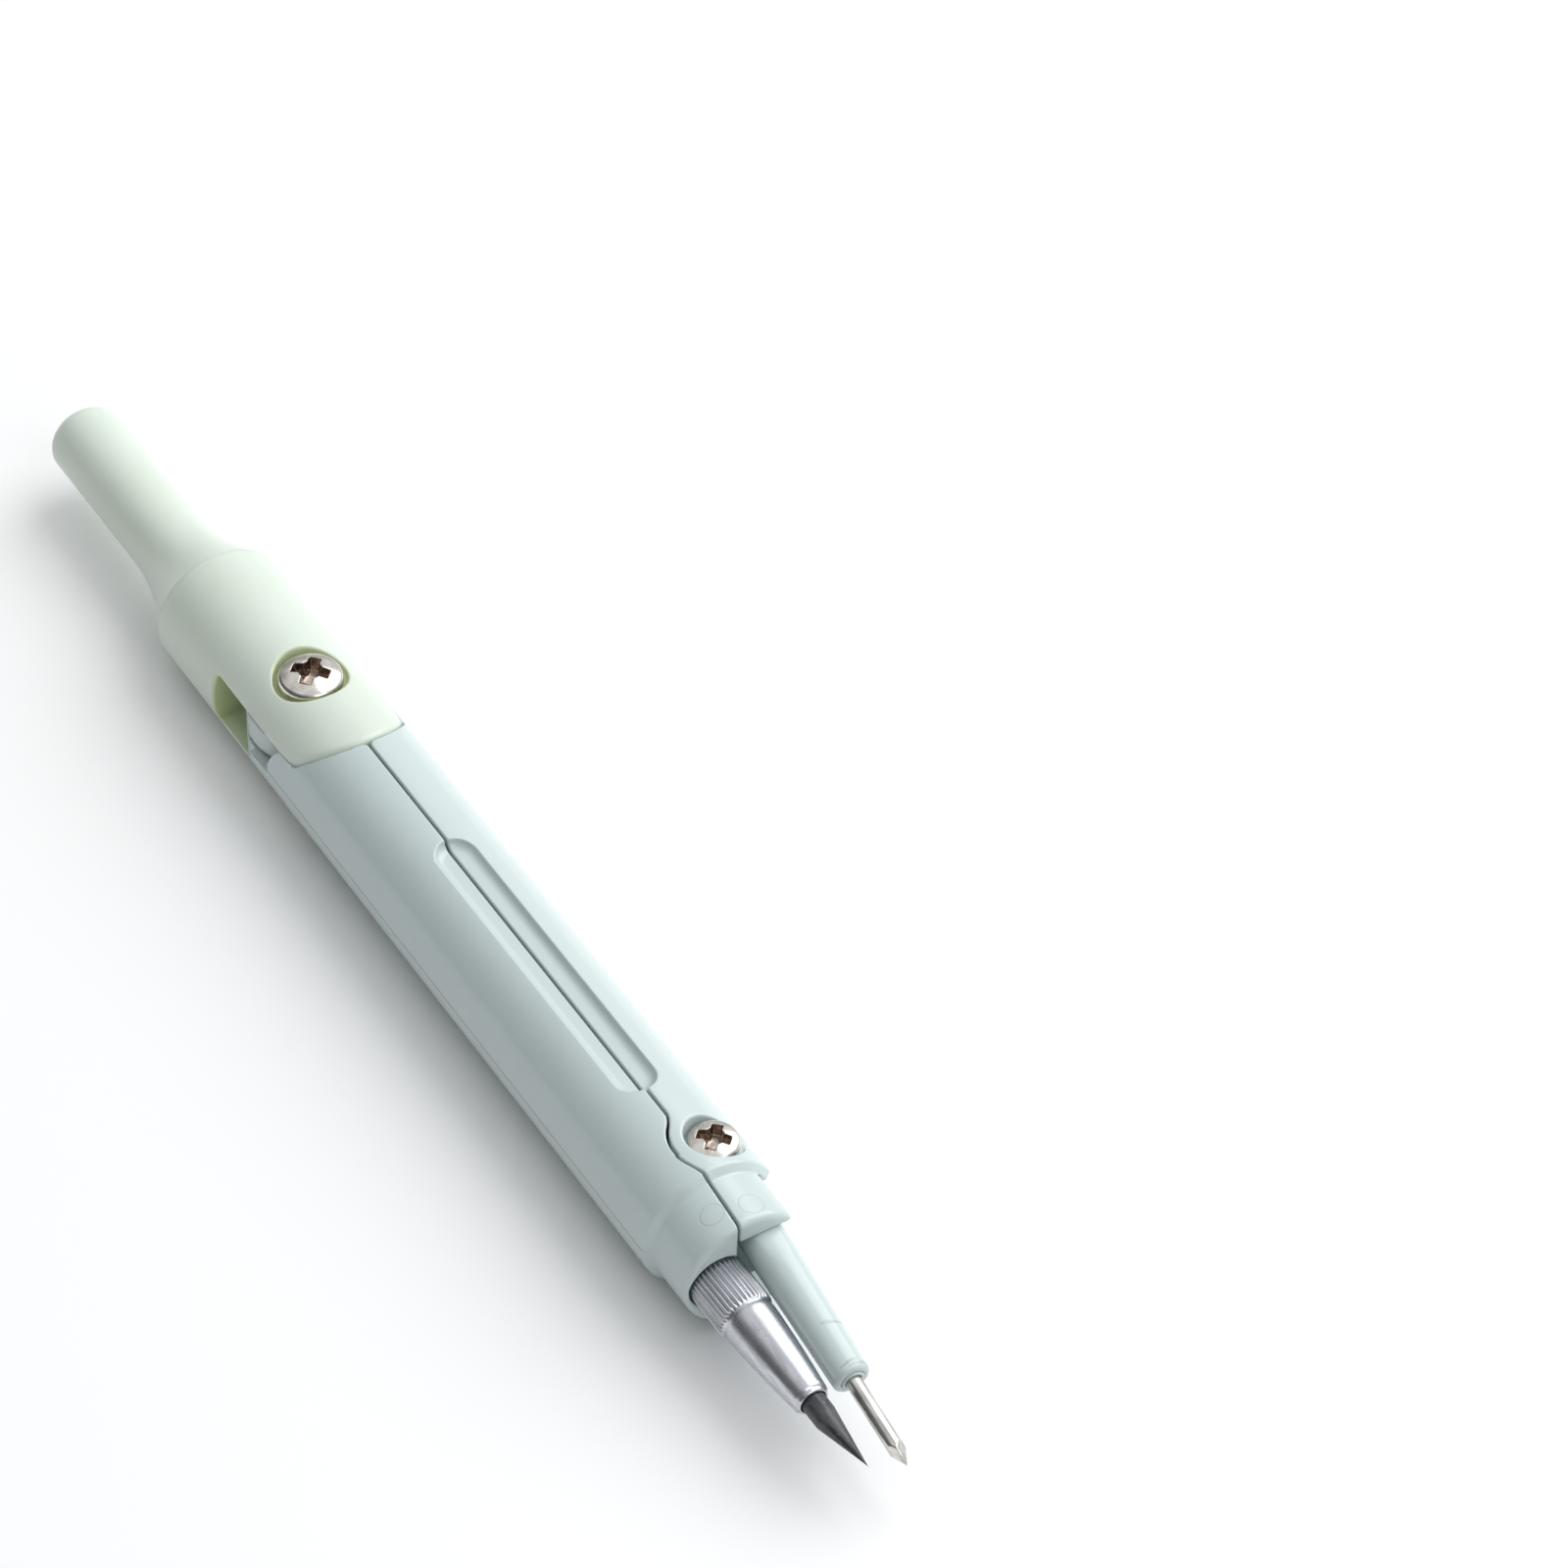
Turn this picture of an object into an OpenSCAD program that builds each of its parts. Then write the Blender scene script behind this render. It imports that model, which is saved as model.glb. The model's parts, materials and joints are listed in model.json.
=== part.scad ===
// Drawing compass with a 2 mm lead holder, lying closed on its back.
// +X runs towards the points, +Y towards the needle leg, +Z out of the front face.

/* [Overall] */
// Distance from the hinge axis back to the end of the handle
handle_reach = 41.0; // [38:0.1:46]
// Distance from the hinge axis forward to the tip of the needle
tip_reach = 89.0; // [88.6:0.1:92]
// Depth of the narrow flat along the back, measured below the round of the legs
back_flat = 0.25; // [0.1:0.05:0.5]

/* [Head] */
// Diameter of the round handle stem
stem_d = 6.5; // [5:0.05:7]
// Diameter of the head at its shoulder
head_d_top = 11.4; // [11:0.05:11.6]
// Diameter of the head at its open end
head_d_end = 11.7; // [11.4:0.05:11.8]
// Distance from the hinge axis back to the shoulder of the head
shoulder_x = 16.0; // [15:0.1:18]
// Slope of the flare between the stem and the head
flare_slope = 29; // [25:0.5:30]
// Radius of the hollow bend where the stem meets the flare
flare_r = 20; // [14:0.5:20]
// Distance from the hinge axis to the middle of the cheeks' rounded end
cheek_reach = 9.25; // [9:0.05:9.6]
// Radius of the cheeks' rounded end
cheek_r = 5.45; // [5.2:0.05:5.6]
// Width of the slot between the two cheeks
slot_w = 5.0; // [4.8:0.1:5.2]

/* [Hinge] */
// Radius of the round tongue on each leg
tongue_r = 5.3; // [5.2:0.05:5.6]
// Thickness of each leg's tongue
tongue_t = 2.2; // [1.8:0.05:2.25]
// Diameter of the hinge screw's thread
hinge_screw_d = 3.0; // [2.5:0.1:3]
// Diameter of the hinge screw's head
hinge_head_d = 5.4; // [5:0.1:5.6]
// Width across the flats of the hinge nut
hinge_nut_af = 5.5; // [5.5:0.1:5.8]

/* [Legs] */
// Diameter over both legs at the shoulder
leg_d_top = 11.6; // [11.4:0.05:11.7]
// Diameter over both legs at the step above the collar
leg_d_end = 11.86; // [11.7:0.02:12]
// Width of the gap between the closed legs
leg_gap = 0.22; // [0.15:0.01:0.3]
// Distance from the hinge axis to the step above the collar
step_x = 62.6; // [62.4:0.1:63]
// Diameter of the collar at the foot of the legs
collar_d = 10.7; // [10.4:0.1:11]
// Distance from the hinge axis to the end of the collar
collar_x = 67.5; // [67.3:0.1:68.1]
// Start of the long recess along the split
recess_x0 = 22.1; // [19:0.1:24]
// End of the long recess along the split
recess_x1 = 52.5; // [48:0.1:53]
// Width of the long recess
recess_w = 3.5; // [3:0.1:4.2]
// Depth of the long recess
recess_depth = 0.9; // [0.8:0.1:1.6]

/* [Knee] */
// Distance from the hinge axis to the knee screw
knee_x = 58.9; // [58.7:0.1:59.1]
// Offset of the knee screw from the split
knee_y = 2.15; // [2.1:0.05:2.2]
// Diameter of the knee screw's thread
knee_screw_d = 2.0; // [1.6:0.1:2]
// Diameter of the knee screw's head
knee_head_d = 4.1; // [3.6:0.1:4.2]
// Radius of the boss round the knee screw
knee_boss_r = 3.4; // [3.3:0.05:3.45]
// Inward lean of the needle arm when the legs are closed
arm_lean = 3.3; // [3.1:0.1:3.5]
// Droop of the needle arm from the front of the fork to the needle's tip
arm_droop = 6; // [5.5:0.1:6.5]
// Diameter of the needle arm at the fork
arm_d_root = 3.6; // [3.5:0.05:3.65]
// Diameter of the needle arm at its end
arm_d_end = 3.05; // [2.8:0.05:3.1]
// Length of the needle arm from the knee screw
arm_len = 22.1; // [20:0.1:23]
// Diameter of the needle
needle_d = 1.3; // [1:0.05:1.4]

/* [Lead holder] */
// Offset of the lead from the split
lead_y = 2.55; // [2.5:0.05:2.6]
// Diameter of the lead
lead_d = 2.0; // [1.8:0.1:2]
// Distance from the hinge axis to the tip of the lead
lead_reach = 88.0; // [87.4:0.1:88.3]
// Diameter of the clutch nut over its knurling
nut_d = 4.65; // [4.5:0.05:4.65]
// Distance from the hinge axis to the end of the knurling
knurl_x = 71.7; // [71:0.1:72.2]
// Distance from the hinge axis to the mouth of the clutch nut
nut_x = 80.9; // [80.2:0.1:81.4]
// Diameter of the clutch nut at its mouth
nut_mouth_d = 2.65; // [2.6:0.05:2.9]
// Number of grooves round the clutch nut
knurl_count = 36; // [24:2:44]

/* [Hidden] */
$fn = 64;

eps = 0.01;                                // overshoot of a cut past a face
far = 20;                                  // reach of a cut that passes right through
run_gap = 0.05;                            // radial clearance of a turning fit
fit_gap = 0.02;                            // radial clearance of a fixed fit
hinge_x = (handle_reach - tip_reach) / 2;  // puts the middle of the length at x = 0
axis_z = leg_d_end / 2 - back_flat;        // height of the long axis above the surface

head_edge_r = 0.9;                         // rounding of the handle's end
dome_h = 0.5;                              // rise of the handle's end
shoulder_r = 1.2;                          // rounding of the head's shoulder
cheek_gap = 0.16;                          // gap between the cheeks and the legs
scallop_r = tongue_r + 1.1;                // clearance cut for the other leg's tongue
cheek_c = cheek_reach - cheek_r;           // centre of the cheeks' rounded end
slot_roof = tongue_r + 1.1;                // distance from the hinge axis to the slot's end
tongue_z0 = slot_w / 2 - 0.05 - tongue_t;  // inner face of each tongue, from the long axis

step_edge = -0.4;                          // the needle leg's edge at the step, past the split
collar_edge = -0.8;                        // the same edge a little beyond the collar's end
boss_ramp = 0.9;                           // where the edge leaves the boss, past the knee screw

hinge_seat_z = 4.35;                       // bearing face under the hinge screw's head
hinge_bore_d = 6.1;                        // counterbore for the hinge screw's head
hinge_nut_t = 1.8;
hinge_nut_z = -3.6;                        // inner face of the hinge nut
washer_r = 4.2;
washer_t = 2 * tongue_z0 - 0.1;

knee_seat_z = 4.05;                        // bearing face under the knee screw's head
knee_pocket_d = 4.7;
knee_nut_af = 4.0;
knee_nut_t = 1.2;
knee_nut_z = -3.3;                         // inner face of the knee nut
fork_z0 = -0.6;                            // rear face of the fork's slot for the arm
fork_z1 = 3.45;                            // front face of that slot
tongue_gap = 0.05;                         // gap in front of the arm's tongue
knee_washer_t = 0.15;                      // washer behind the arm's tongue
arm_z0 = fork_z0 + knee_washer_t + tongue_gap;
arm_z1 = fork_z1 - tongue_gap;
arm_z = 2.65;                              // height of the arm's axis at the knee screw
arm_eye_r = 2.3;                           // radius of the arm's eye round the knee screw
fork_r = arm_eye_r + 0.3;                  // radius of the fork's inner end
ear_y = 4.0;                               // inner face of the fork's closed side
fork_side_y = 3.8;                         // open side of the fork, and of the collar below it
fork_lip_z = 2.6;                          // lower edge of the front skin over the fork's side
arm_root = 9.95;                           // start of the arm's taper, from the knee screw
sleeve_r = 0.95;
sleeve_len = 9;
sleeve_proud = 0.12;                       // how far the sleeve stands out of the arm
needle_len = 16.5;
needle_point = 1.9;                        // length of the ground point

nut_top_x = collar_x - 0.9;                // upper end of the clutch nut, inside the collar
nut_cone_d = nut_d - 0.2;                  // diameter at the start of the cone
nut_well_r = nut_d / 2 + 0.15;             // well in the collar round the clutch nut
nut_thread_r = 1.62;                       // bore of the clutch nut where it screws on
collet_shank_r = 1.55;
collet_shank_x = 62;                       // inner end of the collet, in the pencil leg
collet_end_x = 77;                         // end of the collet's jaws
collet_end_r = 1.3;
collet_slit = 0.3;
lead_bore_r = lead_d / 2 + 0.04;
lead_len = 22;
lead_hole_x = 60.5;                        // blind end of the hole for the lead
lead_point = 5.4;                          // length of the sharpened end
point_lean = 3;                            // lean of the sharpened cone towards the needle
lead_lean_y = 0.25;                        // offset of the sharpened tip towards the needle
nut_mouth_r = lead_d / 2 + 0.1;
knurl_depth = 0.12;

HEAD_MINT = [0.80, 0.87, 0.82];
LEG_PAINT = [0.78, 0.86, 0.86];
STEEL = [0.75, 0.74, 0.72];
NUT_METAL = [0.72, 0.72, 0.75];
BRASS = [0.78, 0.66, 0.38];
GRAPHITE = [0.22, 0.22, 0.24];

// points of an arc from angle a0 to a1, in n steps
function arc(cx, cy, r, a0, a1, n) =
    [for (i = [0 : n]) let (a = a0 + (a1 - a0) * i / n) [cx + r * cos(a), cy + r * sin(a)]];

// moves a shape drawn about the hinge axis to its place in the part's frame
module placed() {
    translate([hinge_x, 0, axis_z]) children();
}

// turns a shape drawn along +Z to lie along +X
module along_x() {
    rotate([0, 90, 0]) children();
}

// a round hole or pin through the compass from front to back
module upright(x, y, r, z0, z1) {
    translate([x, y, z0]) cylinder(h = z1 - z0, r = r);
}

// plate with a given outline between two heights
module plate(z0, z1) {
    translate([0, 0, z0]) linear_extrude(z1 - z0) children();
}

// removes everything below the flat back
module flat_back() {
    difference() {
        children();
        translate([-2 * far, -far, -far - axis_z]) cube([8 * far, 2 * far, far]);
    }
}

// cross-shaped driver recess, wide at the top and narrow at the bottom
module cross_recess(span, wing, depth) {
    for (turn = [45, 135])
        rotate([90, 0, turn])
            translate([0, 0, -wing / 2])
                linear_extrude(wing)
                    polygon([[-span / 2, eps], [-span / 5, -depth], [span / 5, -depth], [span / 2, eps]]);
    translate([0, 0, -depth]) cylinder(h = depth + eps, r1 = wing / 3, r2 = wing * 0.95);
}

// pan-head screw: thread below z = 0, head above
module pan_screw(shank_d, shank_len, head_d, rim_h, head_h, span) {
    dome_r = (pow(head_d / 2, 2) + pow(head_h - rim_h, 2)) / (2 * (head_h - rim_h));
    difference() {
        union() {
            translate([0, 0, -shank_len]) cylinder(h = shank_len, d = shank_d);
            intersection() {
                cylinder(h = head_h, d = head_d);
                translate([0, 0, head_h - dome_r]) sphere(r = dome_r);
            }
        }
        translate([0, 0, head_h]) cross_recess(span, span * 0.3, head_h * 0.72);
    }
}

module hex_nut(af, bore_d, t) {
    difference() {
        cylinder(h = t, d = af / cos(30), $fn = 6);
        translate([0, 0, -eps]) cylinder(h = t + 2 * eps, d = bore_d);
    }
}

// outline of the handle and head, turned about the long axis
module head_profile() {
    stem_r = stem_d / 2;
    top_r = head_d_top / 2;
    bend = tan(flare_slope / 2);
    foot_x = -shoulder_x - (top_r - stem_r) / tan(flare_slope);
    rise = dome_h * 0.6;
    polygon(concat(
        [[0, -handle_reach]],
        [for (i = [1 : 4]) [(stem_r - head_edge_r) * i / 4, -handle_reach + rise * pow(i / 4, 2)]],
        arc(stem_r - head_edge_r, -handle_reach + rise + head_edge_r, head_edge_r, -80, 0, 6),
        arc(stem_r + flare_r, foot_x - flare_r * bend, flare_r, 180, 180 - flare_slope, 10),
        arc(top_r - shoulder_r, -shoulder_x + shoulder_r * bend, shoulder_r, -flare_slope, 0, 5),
        [[head_d_end / 2, cheek_reach + 1], [0, cheek_reach + 1]]));
}

module head_handle() {
    color(HEAD_MINT) placed() flat_back() difference() {
        intersection() {
            along_x() rotate_extrude() head_profile();
            plate(-far, far) union() {
                translate([-handle_reach - 1, -far]) square([handle_reach + 1 + cheek_c, 2 * far]);
                translate([cheek_c, 0]) circle(r = cheek_r);
            }
        }
        translate([-slot_roof, -far, -slot_w / 2]) cube([2 * far, 2 * far, slot_w]);
        upright(0, 0, hinge_screw_d / 2 + fit_gap, -far / 2, far / 2);
        upright(0, 0, hinge_bore_d / 2, hinge_seat_z, far / 2);
        translate([0, 0, -far / 2])
            cylinder(h = far / 2 + hinge_nut_z, d = (hinge_nut_af + 0.1) / cos(30), $fn = 6);
    }
}

module hinge_screw() {
    color(STEEL) placed() translate([0, 0, hinge_seat_z])
        pan_screw(hinge_screw_d, hinge_seat_z - hinge_nut_z + hinge_nut_t, hinge_head_d, 1.05, 1.75, 3.3);
}

module hinge_nut() {
    color(STEEL) placed() translate([0, 0, hinge_nut_z - hinge_nut_t])
        hex_nut(hinge_nut_af, hinge_screw_d + 2 * fit_gap, hinge_nut_t);
}

module hinge_washer() {
    color(STEEL) placed() difference() {
        upright(0, 0, washer_r, -washer_t / 2, washer_t / 2);
        upright(0, 0, hinge_screw_d / 2 + run_gap, -washer_t, washer_t);
    }
}

// half of the plan outline that belongs to the leg on the +Y side; the other leg mirrors it
module half_plan() {
    translate([-far, leg_gap / 2]) square([collar_x + far, far]);
}

// what the needle leg takes over across the split: the knee's boss, its ramp and the collar's wedge
module needle_land(grow) {
    over = 1;
    boss_y = knee_y - sqrt(pow(knee_boss_r, 2) - pow(boss_ramp, 2)) + 0.06;
    translate([knee_x, knee_y]) circle(r = knee_boss_r + grow);
    polygon([[knee_x, over], [knee_x + boss_ramp, boss_y - grow], [step_x, step_edge - grow],
        [collar_x + over, collar_edge - grow], [collar_x + over, over]]);
}

// round bar of both legs, with the collar and its chamfered ends
module leg_bar() {
    step_chamfer = 0.35;
    end_chamfer = 0.5;
    collar_r = collar_d / 2;
    end_r = leg_d_end / 2;
    along_x() rotate_extrude() polygon([
        [0, 0], [leg_d_top / 2, 0], [end_r, step_x - step_chamfer], [end_r - step_chamfer, step_x],
        [collar_r, step_x], [collar_r, collar_x - end_chamfer], [collar_r - end_chamfer, collar_x],
        [0, collar_x]]);
}

// long trough along the split, with a rounded floor
module long_recess() {
    w = recess_w / 2;
    floor_r = 0.7;
    floor_z = leg_d_end / 2 - recess_depth;
    half = concat([[0, far], [0, floor_z]], arc(w - floor_r, floor_z + floor_r, floor_r, -90, 0, 6),
        [[w, far]]);
    for (x = [recess_x0 + w, recess_x1 - w])
        translate([x, 0, 0]) rotate_extrude() polygon(half);
    for (side = [0, 1])
        translate([recess_x0 + w, 0, 0]) mirror([0, side, 0])
            rotate([90, 0, 90]) linear_extrude(recess_x1 - recess_x0 - 2 * w) polygon(half);
}

// everything that both legs lose: room for the head, the recesses and the seam on each side
module leg_cuts() {
    cheek_room = cheek_r + cheek_gap;
    for (z = [-far, slot_w / 2 - 0.05])
        plate(z, z + far - slot_w / 2 + 0.05) {
            translate([-far, -far]) square([far + cheek_c, 2 * far]);
            translate([cheek_c, 0]) circle(r = cheek_room);
        }
    plate(-slot_w / 2, slot_w / 2) {
        circle(r = scallop_r);
        translate([-far, -far]) square([far, 2 * far]);
    }
    long_recess();
    mirror([0, 0, 1]) long_recess();
    seam = 0.14;
    for (side = [-1, 1])
        translate([0, side * leg_d_end / 2, 0]) cube([2 * (step_x - 1), seam * 1.6, seam], center = true);
}

// round tongue with its neck, drawn for the leg on the +Y side
module leg_tongue(z0) {
    intersection() {
        plate(z0, z0 + tongue_t) union() {
            circle(r = tongue_r);
            translate([0, leg_gap / 2]) square([scallop_r + 1, far]);
        }
        union() {
            upright(0, 0, tongue_r, -far, far);
            leg_bar();
        }
    }
}

// rounds the leg's corner where the split meets the shoulder, drawn for the +Y side
module split_corner() {
    r = 0.5;
    x = cheek_reach + cheek_gap;
    plate(-far, far) difference() {
        translate([x - r, leg_gap / 2 - r]) square(2 * r);
        translate([x + r, leg_gap / 2 + r]) circle(r = r);
    }
}

module leg_screw_hole() {
    upright(0, 0, hinge_screw_d / 2 + run_gap, -far / 2, far / 2);
}

// room in the end of the collar for the clutch nut
module nut_well() {
    translate([0, -lead_y, 0]) along_x() translate([0, 0, nut_top_x - 0.15])
        cylinder(h = far, r = nut_well_r);
}

module pencil_leg() {
    color(LEG_PAINT) placed() flat_back() difference() {
        union() {
            difference() {
                intersection() {
                    leg_bar();
                    mirror([0, 1, 0]) plate(-far, far) half_plan();
                }
                leg_cuts();
            }
            mirror([0, 1, 0]) leg_tongue(-tongue_z0 - tongue_t);
        }
        mirror([0, 1, 0]) split_corner();
        leg_screw_hole();
        plate(-far / 2, far / 2) needle_land(leg_gap);
        translate([0, -lead_y, 0]) along_x() {
            translate([0, 0, lead_hole_x]) cylinder(h = far, r = lead_bore_r + 0.06);
            translate([0, 0, collet_shank_x]) cylinder(h = far, r = collet_shank_r + fit_gap);
        }
        nut_well();
    }
}

module needle_leg() {
    color(LEG_PAINT) placed() flat_back() difference() {
        union() {
            difference() {
                intersection() {
                    leg_bar();
                    plate(-far, far) {
                        half_plan();
                        needle_land(0);
                    }
                }
                leg_cuts();
            }
            leg_tongue(tongue_z0);
        }
        split_corner();
        leg_screw_hole();
        nut_well();
        translate([step_x, fork_side_y, -far]) cube([far, far, 2 * far]);
        translate([knee_x, fork_side_y, -far]) cube([far, far, far + fork_lip_z]);
        upright(knee_x, knee_y, knee_screw_d / 2 + fit_gap, -far / 2, far / 2);
        upright(knee_x, knee_y, knee_pocket_d / 2, knee_seat_z, far / 2);
        translate([knee_x, knee_y, -far / 2])
            cylinder(h = far / 2 + knee_nut_z, d = (knee_nut_af + 0.1) / cos(30), $fn = 6);
        plate(fork_z0, fork_z1) {
            translate([knee_x, knee_y]) circle(r = fork_r);
            translate([knee_x, -far]) square([far, far + ear_y]);
            translate([knee_x - fork_r, -far]) square([fork_r + eps, far + knee_y]);
        }
    }
}

// places a shape drawn about the knee screw, with the arm along +X
module on_knee() {
    translate([knee_x, knee_y, 0]) rotate([0, 0, -arm_lean]) children();
}

// places a shape drawn along +Z on the arm's own drooping axis
module on_arm() {
    on_knee() translate([0, 0, arm_z]) rotate([0, arm_droop, 0]) along_x() children();
}

module needle_arm() {
    edge = 0.45;
    color(LEG_PAINT) placed() difference() {
        union() {
            on_knee() upright(0, 0, arm_eye_r, arm_z0, arm_z1);
            difference() {
                on_arm() rotate_extrude() polygon([
                    [0, 0], [arm_d_root / 2, 0], [arm_d_root / 2, arm_root],
                    [arm_d_end / 2, arm_len - edge], [arm_d_end / 2 - edge, arm_len], [0, arm_len]]);
                on_knee() translate([-far, -far, arm_z1]) cube(2 * far);
            }
        }
        on_knee() upright(0, 0, knee_screw_d / 2 + run_gap, -far / 2, far / 2);
        on_arm() translate([0, 0, arm_len - sleeve_len]) cylinder(h = far, r = sleeve_r + fit_gap);
    }
}

module needle_sleeve() {
    color(STEEL) placed() on_arm()
        translate([0, 0, arm_len - sleeve_len + 0.1]) difference() {
            cylinder(h = sleeve_len - 0.1 + sleeve_proud, r = sleeve_r);
            translate([0, 0, 0.5]) cylinder(h = far, r = needle_d / 2 + fit_gap);
        }
}

module needle() {
    reach = (tip_reach - knee_x) / (cos(arm_lean) * cos(arm_droop));
    color(STEEL) placed() on_arm() translate([0, 0, reach - needle_len]) {
        cylinder(h = needle_len - needle_point, d = needle_d);
        translate([0, 0, needle_len - needle_point]) intersection() {
            cylinder(h = needle_point, d = needle_d);
            cylinder(h = needle_point, r1 = needle_d * 0.68, r2 = 0.03, $fn = 4);
        }
    }
}

module knee_screw() {
    color(STEEL) placed() translate([knee_x, knee_y, knee_seat_z])
        pan_screw(knee_screw_d, knee_seat_z - knee_nut_z + knee_nut_t, knee_head_d, 0.9, 1.45, 2.8);
}

module knee_nut() {
    color(STEEL) placed() translate([knee_x, knee_y, knee_nut_z - knee_nut_t])
        hex_nut(knee_nut_af, knee_screw_d + 2 * fit_gap, knee_nut_t);
}

module knee_washer() {
    color(STEEL) placed() difference() {
        upright(knee_x, knee_y, arm_eye_r - 0.3, fork_z0 + 0.02, fork_z0 + 0.02 + knee_washer_t);
        upright(knee_x, knee_y, knee_screw_d / 2 + run_gap, -far, far);
    }
}

module lead_collet() {
    jaw_x = nut_top_x + 3;
    color(BRASS) placed() translate([0, -lead_y, 0]) difference() {
        along_x() rotate_extrude() polygon([
            [lead_bore_r, collet_shank_x], [collet_shank_r, collet_shank_x],
            [collet_shank_r, jaw_x], [collet_end_r, collet_end_x], [lead_bore_r, collet_end_x]]);
        for (turn = [0, 90])
            rotate([turn, 0, 0])
                translate([jaw_x - 1, -collet_slit / 2, -far / 2]) cube([far, collet_slit, far]);
    }
}

// ring of straight grooves, as a toothed outline
module knurl_outline() {
    polygon([for (i = [0 : 2 * knurl_count - 1])
        let (r = nut_d / 2 - (i % 2) * knurl_depth, a = 180 * i / knurl_count)
            [r * cos(a), r * sin(a)]]);
}

module clutch_nut() {
    seat_x = collet_end_x + 0.5;
    color(NUT_METAL) placed() translate([0, -lead_y, 0]) along_x() difference() {
        union() {
            translate([0, 0, nut_top_x]) linear_extrude(knurl_x - nut_top_x) knurl_outline();
            translate([0, 0, knurl_x])
                cylinder(h = nut_x - knurl_x, d1 = nut_cone_d, d2 = nut_mouth_d);
        }
        translate([0, 0, nut_top_x - eps]) cylinder(h = 3.2 + eps, r = nut_thread_r);
        translate([0, 0, nut_top_x + 3.2 - eps])
            cylinder(h = seat_x - nut_top_x - 3.2 + eps, r1 = nut_thread_r, r2 = collet_end_r + 0.05);
        translate([0, 0, nut_top_x]) cylinder(h = far, r = nut_mouth_r);
    }
}

module lead() {
    r = lead_d / 2;
    color(GRAPHITE) placed() translate([0, -lead_y, 0]) intersection() {
        along_x() translate([0, 0, lead_reach - lead_len]) cylinder(h = lead_len, r = r);
        translate([lead_reach, lead_lean_y, 0]) rotate([0, 0, point_lean]) along_x()
            translate([0, 0, -2 * lead_len])
                cylinder(h = 2 * lead_len, r1 = 2 * lead_len * r / lead_point, r2 = 0);
    }
}

head_handle();
hinge_screw();
hinge_nut();
hinge_washer();
pencil_leg();
lead_collet();
clutch_nut();
lead();
needle_leg();
knee_screw();
knee_nut();
knee_washer();
needle_arm();
needle_sleeve();
needle();
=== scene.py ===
import json
import math

import bpy
import numpy as np
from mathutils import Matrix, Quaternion, Vector


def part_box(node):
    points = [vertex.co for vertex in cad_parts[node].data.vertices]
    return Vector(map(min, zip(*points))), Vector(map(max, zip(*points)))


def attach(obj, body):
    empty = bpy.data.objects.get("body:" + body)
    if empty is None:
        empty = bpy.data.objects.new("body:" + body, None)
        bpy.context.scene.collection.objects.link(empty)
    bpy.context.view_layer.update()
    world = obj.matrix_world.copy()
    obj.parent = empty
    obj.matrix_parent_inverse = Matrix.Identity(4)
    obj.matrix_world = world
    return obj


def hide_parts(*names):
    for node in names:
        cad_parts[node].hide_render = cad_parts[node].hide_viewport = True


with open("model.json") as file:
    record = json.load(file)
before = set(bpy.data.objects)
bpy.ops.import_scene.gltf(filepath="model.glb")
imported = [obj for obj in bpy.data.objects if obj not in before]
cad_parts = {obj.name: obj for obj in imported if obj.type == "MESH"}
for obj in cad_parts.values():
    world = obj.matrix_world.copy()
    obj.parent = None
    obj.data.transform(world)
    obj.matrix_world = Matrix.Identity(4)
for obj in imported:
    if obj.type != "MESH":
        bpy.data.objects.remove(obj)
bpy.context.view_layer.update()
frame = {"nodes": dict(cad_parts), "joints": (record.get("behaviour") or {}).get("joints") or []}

MM = 0.001

# Places read from the frame, in millimetres. Shapes are drawn from the hinge axis, with z = 0 on the
# long axis. Names that end in _M are in metres.
joints = {j["name"]: j for j in frame["joints"]}
hinge = np.array(joints["pencil_leg_swing"]["pos_m"]) / MM
knee = np.array(joints["knee_pivot"]["pos_m"]) / MM - hinge
LEAD_Y = joints["clutch_nut_turn"]["pos_m"][1] / MM
HINGE_M, KNEE_M = hinge * MM, (hinge + knee) * MM


def node_box(node):
    """Lowest and highest corner of a CAD node, in millimetres from the hinge axis."""
    lo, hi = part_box(node)
    return np.array(lo) / MM - hinge, np.array(hi) / MM - hinge


HANDLE_END = node_box("head_handle")[0][0]
BACK = node_box("head_handle")[0][2]
CHEEK_END = node_box("head_handle")[1][0]
COLLAR_END = node_box("needle_leg")[1][0]
NUT_TOP, NUT_END = node_box("clutch_nut")[0][0], node_box("clutch_nut")[1][0]
NUT_R = (node_box("clutch_nut")[1][2] - node_box("clutch_nut")[0][2]) / 2
LEAD_START, LEAD_END = node_box("lead")[0][0], node_box("lead")[1][0]
LEAD_R = (node_box("lead")[1][2] - node_box("lead")[0][2]) / 2

# Sizes shared with the CAD model, in millimetres
STEM_R, TOP_R, HEAD_R, SHOULDER = 3.25, 5.7, 5.85, -16.0
FLARE, FLARE_R, SHOULDER_R = math.radians(29), 20.0, 1.2
CHEEK_R, CHEEK_GAP, SLOT = 5.45, 0.16, 2.5
CHEEK_X = CHEEK_END - CHEEK_R
CHEEK_FLARE, CHEEK_STAND = 4.5, 0.05
TOP_CROWN, TOP_CROWN_R = 0.3, 2.35
LEG_TOP_R, LEG_END_R, COLLAR_R, STEP, LEG_EDGE = 5.8, 5.93, 5.35, 62.6, 0.14
GAP = 0.22
TONGUE_R, TONGUE_Z, SLOT_ROOF = 5.3, (0.25, 2.45), 1.1
TONGUE_STRAP, SLOT_PLAY = 8, 0.05
RECESS_X, RECESS_HALF, RECESS_DEPTH = (23.85, 50.75), 1.75, 0.9
BOSS_R, LAND_X, LAND_RISE, LAND_EDGE = 3.4, 0.9, 0.06, (-0.4, -0.8)
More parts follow.
